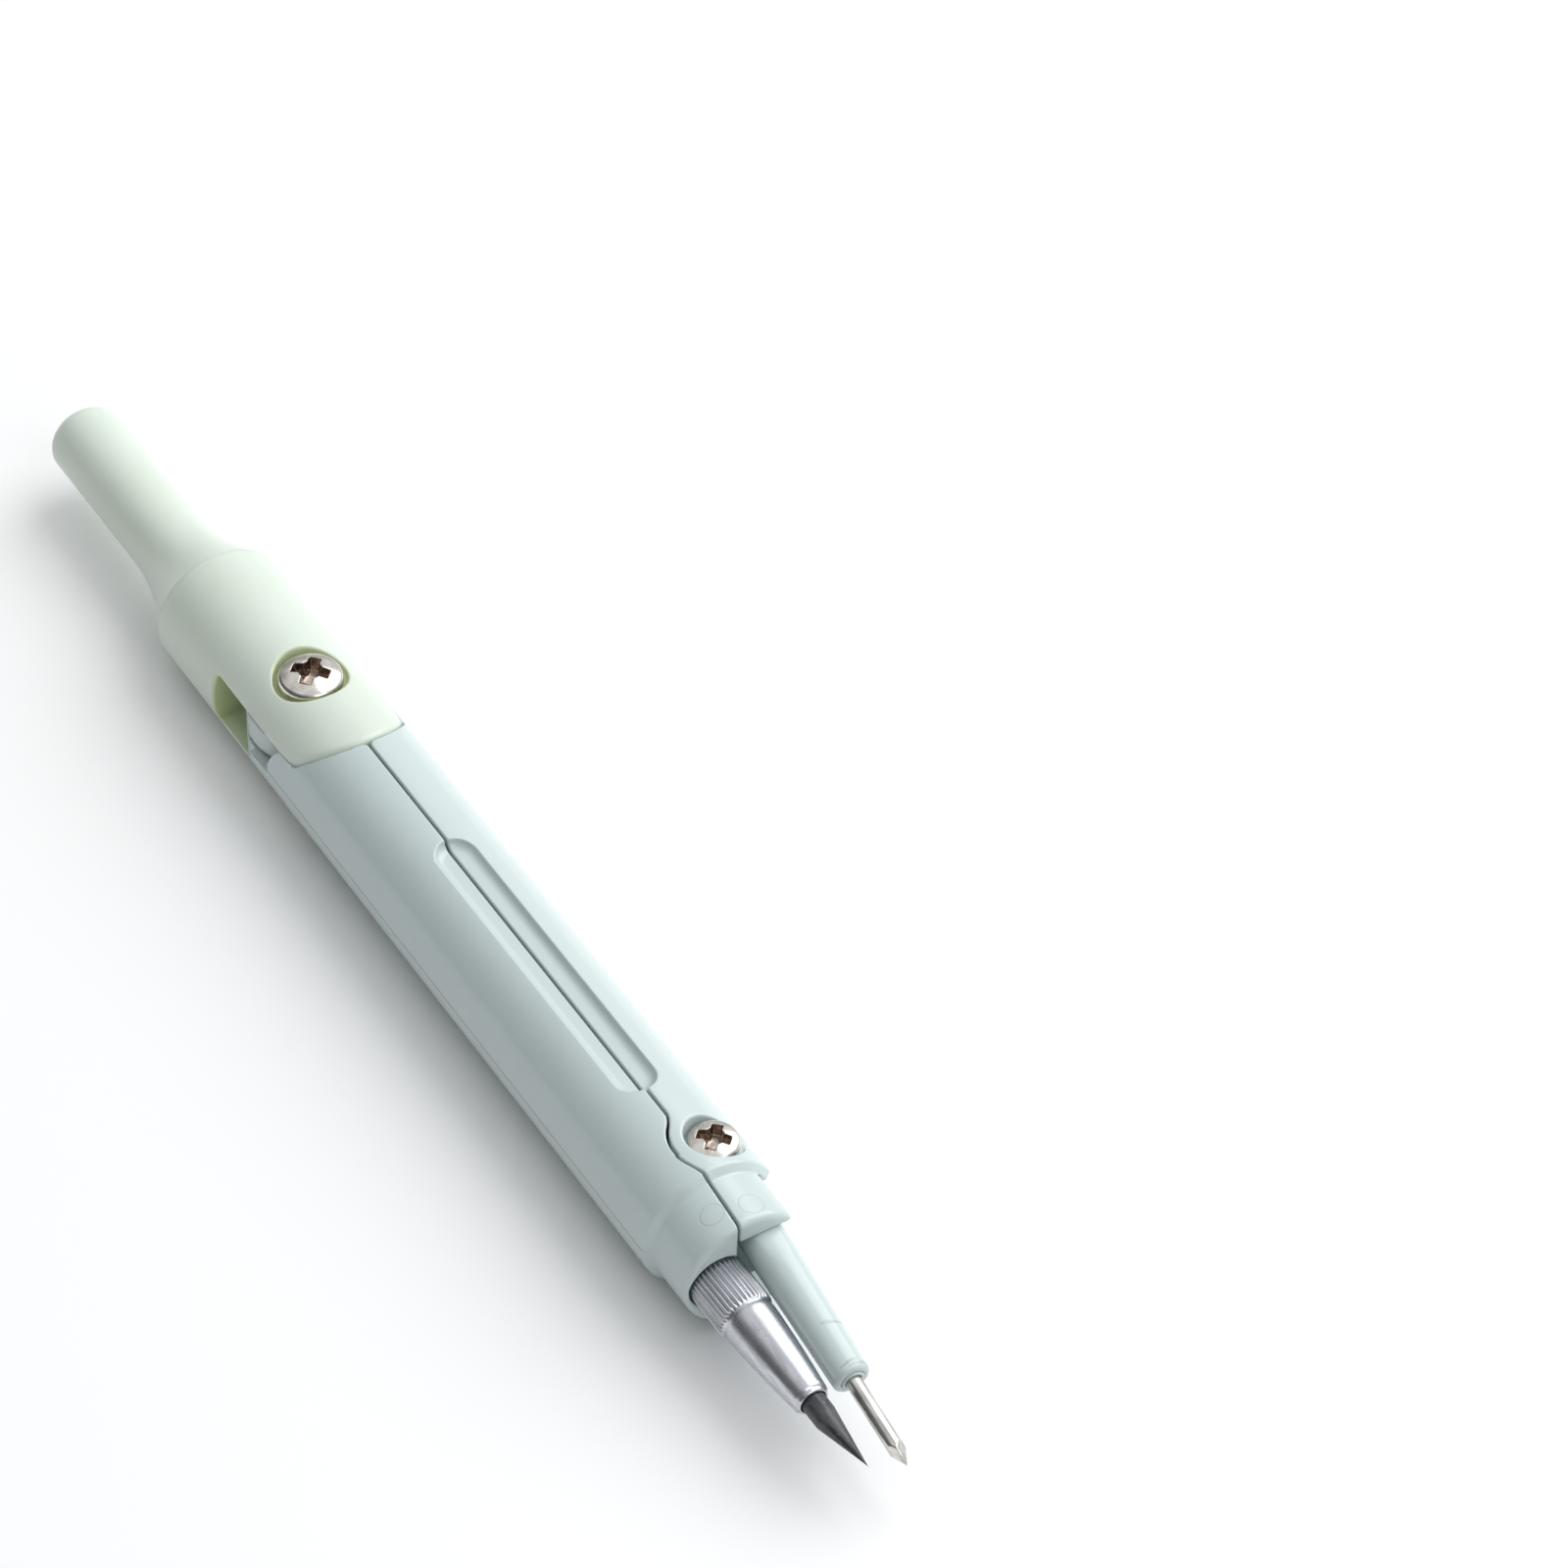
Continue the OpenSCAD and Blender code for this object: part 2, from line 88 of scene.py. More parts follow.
FORK_Z, FORK_R, EAR_Y, FORK_SIDE, FORK_LIP = (-0.6, 3.45), 2.6, 4.0, 3.8, 2.6
WELL_GAP, COLLET_R, COLLET_X = 0.15, 1.57, 60.5
ARM_Z, ARM_LEAN, ARM_DROOP = 2.65, math.radians(3.3), math.radians(6)
ARM_R, ARM_ROOT, ARM_LEN = (1.8, 1.525), 9.95, 22.1
EYE_R, EYE_Z, EYE_BORE = 2.3, (-0.4, 3.4), 1.05
SLEEVE_BORE, SLEEVE_LEN = 0.97, 9
NEEDLE_R, NEEDLE_LEN, NEEDLE_POINT = 0.65, 16.5, 1.9
HINGE_SEAT, HINGE_WELL_R, HINGE_BORE, TONGUE_BORE = 4.35, 3.05, 1.52, 1.55
HINGE_NUT, HINGE_NUT_Z = 5.6, -3.6
KNEE_SEAT, KNEE_WELL_R, KNEE_BORE = 4.05, 2.35, 1.02
KNEE_NUT, KNEE_NUT_Z = 4.1, -3.3
BARREL_END, NUT_BORE, NUT_BACK_BORE, NUT_THREAD = 71.7, 1.06, 1.62, 3.2
LEAD_POINT, LEAD_OFF, LEAD_LEAN = 5.4, 0.23, 0.0526
HINGE_CROSS, KNEE_CROSS = 3.3, 2.8
WING_SHARE, CORE_SHARE, CROSS_DEEP = 0.16, 0.31, 0.8

# Marks in the paint: where pencil strokes start, and each pin mark's place and radius
STROKES_X = 75.5
PIN_MARKS = ((65.2, -1.9, 0.9), (65.9, 1.1, 1.0))


# Fields: distance to a surface in millimetres, negative inside. The last number of meet, join and cut is
# the rounding of the edge that they make.
def meet(a, b, r):
    """Where two shapes overlap."""
    return np.minimum(np.maximum(a, b), -r) + np.hypot(np.maximum(a + r, 0), np.maximum(b + r, 0))


def join(a, b, r):
    """Both shapes, with a fillet between them."""
    return -meet(-a, -b, r)


def cut(a, b, r):
    """The first shape without the second."""
    return meet(a, -b, r)


def slab(v, lo, hi):
    return np.maximum(lo - v, v - hi)


def lathe(x, r, px, pr):
    """Round bar whose radius follows a table along x."""
    slope = np.interp(x, px, np.gradient(pr, px))
    return (r - np.interp(x, px, pr)) / np.hypot(1, slope)


def hexagon(u, v, flats):
    """Hexagon by its width over the flats, with two flats along u."""
    return np.maximum.reduce([np.abs(u * math.cos(a) + v * math.sin(a)) - flats / 2
                              for a in (math.pi / 6, math.pi / 2, 5 * math.pi / 6)])


def steps(*parts):
    """Grid lines from (end, step) pairs, the first part being the start."""
    out = [np.array([parts[0]])]
    for end, step in parts[1:]:
        n = max(1, round((end - out[-1][-1]) / step))
        out.append(np.linspace(out[-1][-1], end, n + 1)[1:])
    return np.concatenate(out)


# How a mesh point is pulled onto its surface: how often, the least slope squared, and how far at most in mm
PULLS, FLATTEST, FARTHEST = 3, 0.25, 0.15


def make_mesh(name, verts, quads, normals=None):
    """Smooth-shaded object from points in millimetres from the hinge axis."""
    mesh = bpy.data.meshes.new(name)
    mesh.vertices.add(len(verts))
    mesh.vertices.foreach_set("co", ((verts + hinge) * MM).astype(np.float32).ravel())
    mesh.loops.add(quads.size)
    mesh.loops.foreach_set("vertex_index", quads.astype(np.int32).ravel())
    mesh.polygons.add(len(quads))
    mesh.polygons.foreach_set("loop_start", np.arange(0, quads.size, 4, dtype=np.int32))
    mesh.update(calc_edges=True)
    mesh.validate()
    mesh.polygons.foreach_set("use_smooth", np.ones(len(mesh.polygons), bool))
    if normals is not None:
        mesh.normals_split_custom_set_from_vertices(normals)
    obj = bpy.data.objects.new(name, mesh)
    bpy.context.scene.collection.objects.link(obj)
    return obj


def gradient(field, p):
    """Slope of a field at each point."""
    h = 0.01
    g = np.empty_like(p)
    for k in range(3):
        d = np.zeros(3)
        d[k] = h
        g[:, k] = (field(*(p + d).T) - field(*(p - d).T)) / (2 * h)
    return g


def solid(name, field, xs, ys, zs):
    """Smooth mesh of a field's surface, on a grid of the given lines: one point in each cell that the
    surface crosses, and one quad round each grid edge that it crosses."""
    axes = (xs, ys, zs)
    f = field(*np.meshgrid(*axes, indexing="ij"))
    shape = np.array(f.shape)
    inside = f < 0
    total = np.zeros((3, int(np.prod(shape))))
    count = np.zeros(int(np.prod(shape)), int)
    faces = []
    stride = np.array([shape[1] * shape[2], shape[2], 1])
    for a in range(3):
        lo = [slice(None)] * 3
        hi = [slice(None)] * 3
        lo[a], hi[a] = slice(0, -1), slice(1, None)
        idx = np.argwhere(inside[tuple(lo)] != inside[tuple(hi)])
        b, c = (a + 1) % 3, (a + 2) % 3
        idx = idx[(idx[:, b] > 0) & (idx[:, c] > 0)]
        nxt = idx.copy()
        nxt[:, a] += 1
        f0, f1 = f[tuple(idx.T)], f[tuple(nxt.T)]
        t = f0 / (f0 - f1)
        point = np.stack([axes[k][idx[:, k]] for k in range(3)])
        point[a] += t * (axes[a][nxt[:, a]] - axes[a][idx[:, a]])
        base = idx @ stride
        cells = np.stack([base - stride[b] - stride[c], base - stride[c], base, base - stride[b]], 1)
        for k in range(4):
            count += np.bincount(cells[:, k], minlength=len(count))
            for d in range(3):
                total[d] += np.bincount(cells[:, k], weights=point[d], minlength=len(count))
        outward = f0 < 0
        cells[~outward] = cells[~outward][:, ::-1]
        faces.append(cells)
    used = np.flatnonzero(count)
    verts = (total[:, used] / count[used]).T
    lookup = np.zeros(len(count), int)
    lookup[used] = np.arange(len(used))
    quads = lookup[np.concatenate(faces)]
    start = verts.copy()
    for _ in range(PULLS):
        g = gradient(field, verts)
        size = np.maximum((g ** 2).sum(1), FLATTEST)
        verts = verts - g * (field(*verts.T) / size)[:, None]
    far = np.abs(verts - start).max(1) > FARTHEST
    verts[far] = start[far]
    g = gradient(field, verts)
    g /= np.maximum(np.linalg.norm(g, axis=1), 1e-9)[:, None]
    return make_mesh(name, verts, quads, g)


def circle(n):
    return np.arange(n) * 2 * math.pi / n


def tube(name, xs, radii, place):
    """Closed ring mesh: radii[i, j] is the radius of ring i at angle j. place maps (x, y, z) to the part."""
    n = radii.shape[1]
    ang = circle(n)
    pts = np.stack([np.repeat(xs[:, None], n, 1), radii * np.cos(ang), radii * np.sin(ang)], -1)
    verts = place(pts.reshape(-1, 3))
    i, j = np.meshgrid(np.arange(len(xs) - 1), np.arange(n), indexing="ij")
    k = (j + 1) % n
    quads = np.stack([i * n + j, i * n + k, (i + 1) * n + k, (i + 1) * n + j], -1).reshape(-1, 4)
    return make_mesh(name, verts, quads[:, ::-1])


# Head
def arc(cx, cr, r, a0, a1):
    a = np.linspace(a0, a1, 24)
    return cx + r * np.cos(a), cr + r * np.sin(a)


def head_table():
    """The head's radius along its length: stem, flare, shoulder and taper."""
    bend = math.tan(FLARE / 2)
    foot = SHOULDER - (TOP_R - STEM_R) / math.tan(FLARE)
    x1, r1 = arc(foot - FLARE_R * bend, STEM_R + FLARE_R, FLARE_R, -math.pi / 2, -math.pi / 2 + FLARE)
    x2, r2 = arc(SHOULDER + SHOULDER_R * bend, TOP_R - SHOULDER_R, SHOULDER_R,
                 math.pi / 2 + FLARE, math.pi / 2)
    before, after = -60, CHEEK_END + 1
    px = np.concatenate([[before], x1, x2, [after]])
    pr = np.concatenate([[STEM_R], r1, r2, [HEAD_R]])
    fine = np.linspace(before, after, 3500)
    return fine, np.interp(fine, px, pr)


HEAD_X, HEAD_PROFILE = head_table()


def cheek_plan(x, y):
    """Outline of the cheeks' rounded end, seen from the front."""
    t = np.clip((CHEEK_X - x) / CHEEK_FLARE, 0, 1)
    width = CHEEK_R + (HEAD_R + CHEEK_STAND - CHEEK_R) * t * t * (3 - 2 * t)
    return np.hypot(np.maximum(x - CHEEK_X, 0), y) - width


def head_field(x, y, z):
    r = np.hypot(y, z)
    f = lathe(x, r, HEAD_X, HEAD_PROFILE)
    f = meet(f, HANDLE_END - x + TOP_CROWN * (r / TOP_CROWN_R) ** 2, 0.95)
    f = meet(f, cheek_plan(x, y), 0.5)
    f = cut(f, meet(np.abs(z) - SLOT, -TONGUE_R - SLOT_ROOF - x, 0.4), 0.22)
    from_axis = np.hypot(x, y)
    f = cut(f, meet(from_axis - HINGE_WELL_R, HINGE_SEAT - z, 0.3), 0.28)
    f = cut(f, from_axis - HINGE_BORE, 0.05)
    f = cut(f, np.maximum(hexagon(x, y, HINGE_NUT), z - HINGE_NUT_Z), 0.1)
    return meet(f, BACK - z, 0.08)


# Legs
BOSS_EDGE = knee[1] - math.sqrt(BOSS_R ** 2 - LAND_X ** 2) + LAND_RISE


def needle_plan(x, y):
    """Outline of the needle leg across the split, seen from the front."""
    boss = np.hypot(x - knee[0], y - knee[1]) - BOSS_R
    edge = np.interp(x, [knee[0] + LAND_X, STEP, COLLAR_END + 1], [BOSS_EDGE, *LAND_EDGE])
    land = np.maximum(edge - y, knee[0] + LAND_X - x)
    return join(GAP / 2 - y, join(boss, land, 0.7), 0.7)


def leg_body(x, y, z):
    """Round bar that both legs are halves of, with the step down to its collar."""
    r = np.hypot(y, z)
    bar = r - np.interp(x, [0, STEP], [LEG_TOP_R, LEG_END_R])
    bar = meet(bar, (x - STEP + r - COLLAR_R) / math.sqrt(2), 0.1)
    collar = meet(r - COLLAR_R, x - COLLAR_END, 0.55)
    return join(bar, collar, 0.08)


def leg_field(x, y, z, side):
    """What both legs share; side is 1 for the needle leg and -1 for the pencil leg."""
    plan = needle_plan(x, y)
    if side < 0:
        plan = GAP - plan
    body = leg_body(x, y, z)
    outer = meet(body, meet(plan, CHEEK_GAP - cheek_plan(x, y), 0.5), LEG_EDGE)
    from_hinge = np.hypot(x, y)
    inner = meet(body, meet(plan, -np.minimum(from_hinge - TONGUE_R - SLOT_ROOF, x), 0.3), LEG_EDGE)
    f = np.minimum(np.maximum(outer, SLOT - SLOT_PLAY - np.abs(z)), np.maximum(inner, np.abs(z) - SLOT))
    trough = np.hypot(np.maximum(slab(x, *RECESS_X), 0), y) - RECESS_HALF
    f = cut(f, meet(trough, LEG_END_R - RECESS_DEPTH - np.abs(z), 0.75), LEG_EDGE)
    disc = from_hinge - TONGUE_R
    tongue = np.minimum(disc, np.maximum(slab(x, 0, TONGUE_STRAP), GAP / 2 - side * y))
    tongue = np.maximum(tongue, np.minimum(disc, body))
    f = join(f, np.maximum(tongue, slab(side * z, *TONGUE_Z)), 0.03)
    f = cut(f, from_hinge - TONGUE_BORE, 0.05)
    f = cut(f, np.maximum(np.hypot(y - LEAD_Y, z) - NUT_R - WELL_GAP, NUT_TOP - WELL_GAP - x), 0.18)
    return meet(f, BACK - z, 0.08)


def pencil_field(x, y, z):
    seat = np.maximum(np.hypot(y - LEAD_Y, z) - COLLET_R, COLLET_X - x)
    return cut(leg_field(x, y, z, -1), seat, 0.05)


def needle_leg_field(x, y, z):
    f = leg_field(x, y, z, 1)
    from_knee = np.hypot(x - knee[0], y - knee[1])
    f = cut(f, meet(from_knee - KNEE_WELL_R, KNEE_SEAT - z, 0.2), 0.2)
    f = cut(f, from_knee - KNEE_BORE, 0.04)
    f = cut(f, np.maximum(hexagon(x - knee[0], y - knee[1], KNEE_NUT), z - KNEE_NUT_Z), 0.1)
    mouth = np.maximum(knee[0] - x, y - EAR_Y)
    back = np.maximum(knee[0] - FORK_R - x, y - knee[1])
    plan = np.minimum(from_knee - FORK_R, np.minimum(mouth, back))
    f = cut(f, meet(plan, slab(z, *FORK_Z), 0.1), 0.1)
    f = cut(f, np.maximum(STEP - x, FORK_SIDE - y), 0.1)
    return cut(f, np.maximum(np.maximum(knee[0] - x, FORK_SIDE - y), z - FORK_LIP), 0.15)


# Needle arm
def from_knee_frame(x, y, z):
    """Coordinates along, across and above the closed needle arm, from the knee screw."""
    c, s = math.cos(ARM_LEAN), math.sin(ARM_LEAN)
    u, v = x - knee[0], y - knee[1]
    return u * c - v * s, u * s + v * c, z


def from_arm_frame(u, v, z):
    """From the knee's frame to one with its first axis along the drooping arm."""
    c, s = math.cos(ARM_DROOP), math.sin(ARM_DROOP)
    w = z - ARM_Z
    return u * c - w * s, v, u * s + w * c


def on_arm(p):
    """From the arm's own axis, with x along it, back to the part."""
    c, s = math.cos(ARM_DROOP), math.sin(ARM_DROOP)
    u, v, w = p[:, 0] * c + p[:, 2] * s, p[:, 1], -p[:, 0] * s + p[:, 2] * c + ARM_Z
    c, s = math.cos(ARM_LEAN), math.sin(ARM_LEAN)
    return np.stack([u * c + v * s + knee[0], -u * s + v * c + knee[1], w], 1)


def arm_field(x, y, z):
    u, v, w = from_knee_frame(x, y, z)
    s, t, n = from_arm_frame(u, v, w)
    eye = meet(np.hypot(u, v) - EYE_R, slab(w, *EYE_Z), 0.15)
    radius = np.interp(s, [ARM_ROOT, ARM_LEN], ARM_R)
    shank = meet(np.hypot(t, n) - radius, slab(s, 0, ARM_LEN), 0.4)
    f = join(eye, meet(shank, w - EYE_Z[1], 0.3), 0.1)
    f = cut(f, np.hypot(u, v) - EYE_BORE, 0.04)
    return cut(f, np.maximum(np.hypot(t, n) - SLEEVE_BORE, ARM_LEN - SLEEVE_LEN - s), 0.1)


# Screws
def screw(name, centre, seat, shank_r, tip, head_r, rim, height, span, edge):
    """Pan-head screw with a cross recess, upright over a centre. The recess is span wide."""
    dome_r = (head_r ** 2 + (height - rim) ** 2) / (2 * (height - rim))

    def field(x, y, z):
        u, v, w = x - centre[0], y - centre[1], z - seat
        r = np.hypot(u, v)
        dome = np.sqrt(r ** 2 + (w - height + dome_r) ** 2) - dome_r
        f = meet(meet(dome, r - head_r, edge), -w, 0.1)
        f = join(f, np.maximum(r - shank_r, slab(z, tip, seat + 0.2)), 0.05)
        depth = height - w
        floor = depth - height * CROSS_DEEP
        a, b = (u + v) / math.sqrt(2), (u - v) / math.sqrt(2)
        for p, q in ((a, b), (b, a)):
            wing = meet(np.abs(p) - span * WING_SHARE + 0.1 * depth, np.abs(q) - span / 2 + 0.3 * depth, 0.1)
            f = cut(f, meet(wing, floor, 0.08), 0.09)
        return cut(f, meet(r - span * CORE_SHARE + 0.35 * depth, floor, 0.1), 0.09)

    fine, margin = 0.055, 0.12
    wide = np.arange(-head_r - margin, head_r + margin, fine)
    tall = steps(tip - 0.1, (tip + 0.2, 0.1), (seat - 0.15, 0.2), (seat + height + margin, fine))
    return solid(name, field, centre[0] + wide, centre[1] + wide, tall)


# Lead holder and needle
def clutch_nut():
    """Turned nut: grooved barrel, long cone, bright lip and the bore."""
    grooves = 36
    n = grooves * 10
    barrel = BARREL_END
    xs, rr, deep = [], [], []

    def ring(x, r, knurl=0.0):
        xs.append(x)
        rr.append(r)
        deep.append(knurl)

    ring(NUT_TOP, NUT_BACK_BORE)
    ring(NUT_TOP, NUT_R - 0.3)
    ring(NUT_TOP + 0.12, NUT_R - 0.14)
    for x in np.linspace(NUT_TOP + 0.25, barrel - 0.42, 10):
        ring(x, NUT_R, 0.2)
    ring(barrel - 0.25, NUT_R - 0.02, 0.13)
    ring(barrel - 0.1, NUT_R - 0.1, 0.05)
    ring(barrel, NUT_R - 0.19)
    ring(barrel + 0.12, NUT_R - 0.24)
    ring(barrel + 0.3, NUT_R - 0.17)
    for t in np.linspace(0.05, 1, 22):
        x = barrel + 0.2 + t * (NUT_END - 0.62 - barrel)
        ring(x, (NUT_R - 0.13) + (1.46 - NUT_R + 0.13) * t + 0.07 * math.sin(math.pi * t))
    for back, r in ((0.36, 1.36), (0.3, 1.33), (0.22, 1.33), (0.1, 1.3), (0.02, 1.24), (0, 1.17), (0.02, 1.1),
                    (0.15, NUT_BORE), (NUT_THREAD, NUT_BORE)):
        ring(NUT_END - back, r)
    ring(NUT_TOP + NUT_THREAD, NUT_BACK_BORE)
    ring(NUT_TOP, NUT_BACK_BORE)
    ang = circle(n)
    groove = (0.5 - 0.5 * np.cos(grooves * ang)) ** 2.2
    radii = np.array(rr)[:, None] - np.array(deep)[:, None] * groove[None, :]
    return tube("clutch_nut_turned", np.array(xs), radii, lambda p: p + [0, LEAD_Y, 0])


def lead_stick():
    """Drawn lead, sharpened a little off centre."""
    n = 96
    cut_start = LEAD_END - LEAD_POINT - 1.1
    body = np.linspace(LEAD_START + 0.12, cut_start - 0.1, 30)
    xs = np.concatenate([[LEAD_START, LEAD_START], body, np.linspace(cut_start, LEAD_END, 60)])
    ang = circle(n)
    centre = LEAD_OFF - LEAD_LEAN * (LEAD_END - xs)
    centre = np.where(xs < cut_start, 0, np.maximum(centre, -0.12))
    along = -centre[:, None] * np.cos(ang)
    barrel = along + np.sqrt(LEAD_R ** 2 - centre[:, None] ** 2 + along ** 2)
    cone = np.maximum((LEAD_END - xs) * LEAD_R / LEAD_POINT, 0.015)[:, None]
    radii = np.where(xs[:, None] < cut_start, barrel, np.minimum(barrel, cone))
    radii[0] = 0.001
    radii[1] = LEAD_R - 0.1

    def place(p):
        out = p + [0, LEAD_Y, 0]
        out[:, 1] += np.repeat(centre, n)
        return out

    return tube("lead_sharpened", xs, radii, place)


def needle_pin():
    """Wire needle with a ground four-sided point."""
    n = 64
    reach = (node_box("needle")[1][0] - knee[0]) / (math.cos(ARM_LEAN) * math.cos(ARM_DROOP))
    start = reach - NEEDLE_LEN
    shank = np.linspace(start + 0.2, reach - NEEDLE_POINT - 0.3, 12)
    point = np.linspace(reach - NEEDLE_POINT - 0.2, reach - 0.01, 46)
    xs = np.concatenate([[start, start, start + 0.1], shank, point])
    ang = circle(n)
    facet = np.maximum(np.abs(np.cos(ang + 0.5)), np.abs(np.sin(ang + 0.5)))
    cone = ((reach - xs) / NEEDLE_POINT * NEEDLE_R * 0.98 + 0.02)[:, None] / facet[None, :]
    radii = np.minimum(NEEDLE_R, cone)
    radii[0], radii[1] = 0.001, NEEDLE_R - 0.1
    return tube("needle_ground", xs, radii, on_arm)


def sleeve_ring():
    """Bush that holds the needle in the arm's end."""
    n = 64
    inner, outer, back = NEEDLE_R + 0.02, SLEEVE_BORE - 0.02, 0.1 - SLEEVE_LEN
    prof = [(back, inner), (back, outer), (-0.2, outer), (0.04, outer), (0.09, 0.92), (0.12, 0.86),
            (0.12, 0.76), (0.08, 0.69), (0, inner), (back, inner)]
    xs = np.array([ARM_LEN + p[0] for p in prof])
    radii = np.repeat(np.array([p[1] for p in prof])[:, None], n, 1)
    return tube("needle_bush", xs, radii, on_arm)


# Materials
def material(name):
    m = bpy.data.materials.new(name)
    m.use_nodes = True
    return m, Nodes(m.node_tree)


class Nodes:
    """Short names for building a procedural material."""

    def __init__(self, tree):
        self.tree = tree
        self.bsdf = tree.nodes["Principled BSDF"]
        self.coord = tree.nodes.new("ShaderNodeTexCoord").outputs["Object"]

    def link(self, source, socket):
        if hasattr(source, "is_output"):
            self.tree.links.new(source, socket)
        else:
            socket.default_value = source

    def math(self, op, a, b=0.0):
        n = self.tree.nodes.new("ShaderNodeMath")
        n.operation = op
        self.link(a, n.inputs[0])
        self.link(b, n.inputs[1])
        return n.outputs[0]

    def stretch(self, scale, angle=0.0):
        n = self.tree.nodes.new("ShaderNodeMapping")
        n.inputs["Scale"].default_value = scale
        n.inputs["Rotation"].default_value = (0, 0, angle)
        self.link(self.coord, n.inputs["Vector"])
        return n.outputs[0]

    def times(self, a, b):
        return self.math("MULTIPLY", a, b)

    def apart(self, a, b):
        return self.math("ABSOLUTE", self.math("SUBTRACT", a, b))

    def offset(self, x, y, centre):
        """How far a point is from an upright line, along x and along y, and straight."""
        dx, dy = self.math("SUBTRACT", x, centre[0]), self.math("SUBTRACT", y, centre[1])
        square = self.math("ADD", self.times(dx, dx), self.times(dy, dy))
        return dx, dy, self.math("POWER", square, 0.5)

    def noise(self, scale, detail, vector=None):
        n = self.tree.nodes.new("ShaderNodeTexNoise")
        n.inputs["Scale"].default_value = scale
        n.inputs["Detail"].default_value = detail
        self.link(vector or self.coord, n.inputs["Vector"])
        return n.outputs[0]

    def cells(self, scale):
        n = self.tree.nodes.new("ShaderNodeTexVoronoi")
        n.inputs["Scale"].default_value = scale
        self.link(self.coord, n.inputs["Vector"])
        return n.outputs["Distance"]

    def split(self):
        n = self.tree.nodes.new("ShaderNodeSeparateXYZ")
        self.link(self.coord, n.inputs[0])
        return n.outputs

    def fade(self, value, lo, hi, to_lo=0.0, to_hi=1.0):
        n = self.tree.nodes.new("ShaderNodeMapRange")
        n.interpolation_type = "SMOOTHSTEP"
        self.link(value, n.inputs[0])
        for k, v in zip((1, 2, 3, 4), (lo, hi, to_lo, to_hi)):
            n.inputs[k].default_value = v
        return n.outputs[0]

    def mix(self, factor, a, b):
        n = self.tree.nodes.new("ShaderNodeMix")
        n.data_type = "RGBA"
        self.link(factor, n.inputs["Factor"])
        for value, key in ((a, 6), (b, 7)):
            self.link((*value, 1) if isinstance(value, tuple) else value, n.inputs[key])
        return n.outputs[2]

    def bump(self, height, strength, distance):
        n = self.tree.nodes.new("ShaderNodeBump")
        n.inputs["Strength"].default_value = strength
        n.inputs["Distance"].default_value = distance
        self.link(height, n.inputs["Height"])
        return n.outputs[0]

    def finish(self, color, roughness, normal=None, **constants):
        """Link the shader. The rest are sockets that are the same all over, with _ for a space."""
        self.link(color, self.bsdf.inputs["Base Color"])
        self.link(roughness, self.bsdf.inputs["Roughness"])
        if normal:
            self.link(normal, self.bsdf.inputs["Normal"])
        for key, value in constants.items():
            self.bsdf.inputs[key.replace("_", " ")].default_value = value


def head_plastic():
    """Mint plastic, greener where light has passed through it, in the slot and round the screw."""
    m, n = material("head_plastic")
    x, y, z = n.split()
    color = n.mix(n.fade(n.noise(90, 4), 0.35, 0.65), (0.66, 0.735, 0.645), (0.675, 0.75, 0.67))
    specks = n.times(n.fade(n.cells(700), 0.05, 0.11, 1, 0), n.fade(n.noise(160, 2), 0.6, 0.68))
    color = n.mix(n.times(specks, 0.1), color, (0.40, 0.43, 0.38))
    level = n.fade(n.apart(z, HINGE_M[2]), 0.00235, 0.0026, 1, 0)
    slot = n.times(level, n.fade(x, HINGE_M[0] - 0.007, HINGE_M[0] - 0.006))
    round_screw = n.fade(n.offset(x, y, HINGE_M)[2], 0.0029, 0.0034, 0.6, 0)
    well = n.times(round_screw, n.fade(z, HINGE_M[2], HINGE_M[2] + 0.001))
    color = n.mix(n.math("MAXIMUM", slot, well), color, (0.50, 0.58, 0.20))
    rough = n.fade(n.noise(260, 5), 0.3, 0.7, 0.285, 0.4)
    normal = n.bump(n.noise(900, 3), 0.08, 0.0001)
    n.finish(color, rough, normal, Subsurface_Weight=0.25, Subsurface_Scale=0.0012,
             Subsurface_Radius=(0.9, 1.2, 0.7), Coat_Weight=0.25, Coat_Roughness=0.2)
    return m


